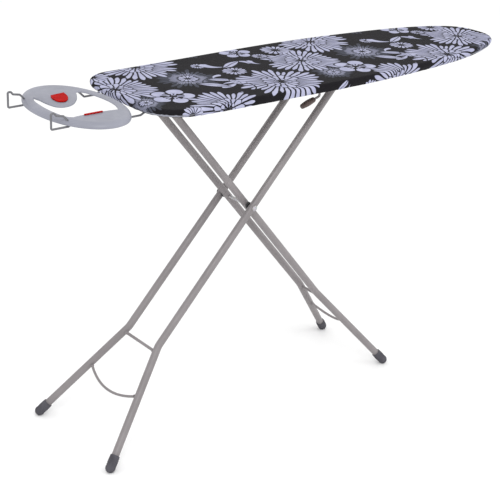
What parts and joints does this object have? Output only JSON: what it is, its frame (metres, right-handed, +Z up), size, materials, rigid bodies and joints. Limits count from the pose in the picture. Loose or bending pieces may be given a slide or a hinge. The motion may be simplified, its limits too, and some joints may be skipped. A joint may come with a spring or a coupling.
{
  "type": "ironing board",
  "caption": "Folding ironing board: padded printed cover on a tapered board, crossed tubular legs with rubber feet, a release lever and a wire-railed iron rest.",
  "frame": {"origin": "on the floor, under the middle of the whole object", "axes": "+X towards the nose of the board, +Y to the side away from the release lever, +Z up"},
  "size_m": [1.436, 0.38, 0.896],
  "materials": {
    "cover_cloth": "printed cotton twill, near-black ground with lavender flowers",
    "foam": "soft open-cell foam",
    "silver_paint": "warm silver powder coat, satin",
    "grey_paint": "light blue-grey paint, satin",
    "bare_steel": "zinc-plated steel",
    "grey_rubber": "dark grey moulded rubber, matte",
    "brown_plastic": "dark brown moulded plastic, ribbed",
    "black_plastic": "black moulded plastic",
    "red_silicone": "red moulded silicone, matte"
  },
  "bodies": {
    "board": {"cover": "cover_cloth", "foam_pad": "foam", "top_panel": "grey_paint", "rim_frame": "grey_paint", "rib_wide_end": "grey_paint", "rib_middle": "grey_paint", "rib_nose": "grey_paint", "hinge_bracket_near": "grey_paint", "hinge_bracket_far": "grey_paint", "rack_near": "bare_steel", "rack_far": "bare_steel", "rest_rail_near": "silver_paint", "rail_clip_near_outer": "black_plastic", "rail_clip_near_inner": "black_plastic", "rest_rail_far": "silver_paint", "rail_clip_far_outer": "black_plastic", "rail_clip_far_inner": "black_plastic", "rest_tray": "grey_paint", "leaf_pad": "red_silicone", "edge_strip": "red_silicone", "lever_lug_outer": "grey_paint", "lever_lug_inner": "grey_paint"},
    "leg_a": {"leg_a_tube_near": "silver_paint", "leg_a_tube_far": "silver_paint", "leg_a_foot_near": "grey_rubber", "leg_a_foot_far": "grey_rubber", "leg_a_straight_brace": "silver_paint", "leg_a_curved_brace": "silver_paint", "hinge_bar": "bare_steel", "centre_axle": "bare_steel", "pivot_spacer_near": "black_plastic", "pivot_spacer_far": "black_plastic", "axle_cap_near": "bare_steel", "axle_cap_far": "bare_steel"},
    "leg_b": {"leg_b_tube_near": "silver_paint", "leg_b_tube_far": "silver_paint", "leg_b_foot_near": "grey_rubber", "leg_b_foot_far": "grey_rubber", "leg_b_straight_brace": "silver_paint", "leg_b_curved_brace": "silver_paint", "slider_bar": "bare_steel", "slider_cap_near": "black_plastic", "slider_cap_far": "black_plastic"},
    "lever": {"lever_wire": "silver_paint", "latch_hook": "silver_paint", "lever_grip": "brown_plastic", "lever_spring": "bare_steel"}
  },
  "joints": [
    {"name": "leg_a_fold", "type": "hinge", "parent": "board", "child": "leg_a", "pos_m": [-0.38501, 0, 0.855], "axis": [0, 1, 0], "range_deg": [-47.14, 0]},
    {"name": "leg_b_fold", "type": "hinge", "parent": "leg_a", "child": "leg_b", "pos_m": [-0.129, 0, 0.5463], "axis": [0, 1, 0], "range_deg": [0, 92.12]},
    {"name": "lever_squeeze", "type": "hinge", "parent": "board", "child": "lever", "pos_m": [0.012, 0, 0.865], "axis": [0, 1, 0], "range_deg": [0, 12], "stiffness_Nm_per_rad": 0.5, "springref_deg": -22.92}
  ],
  "couplings": [
    {"joint": "leg_b_fold", "follows": "leg_a_fold", "ratio": -1.9539}
  ]
}
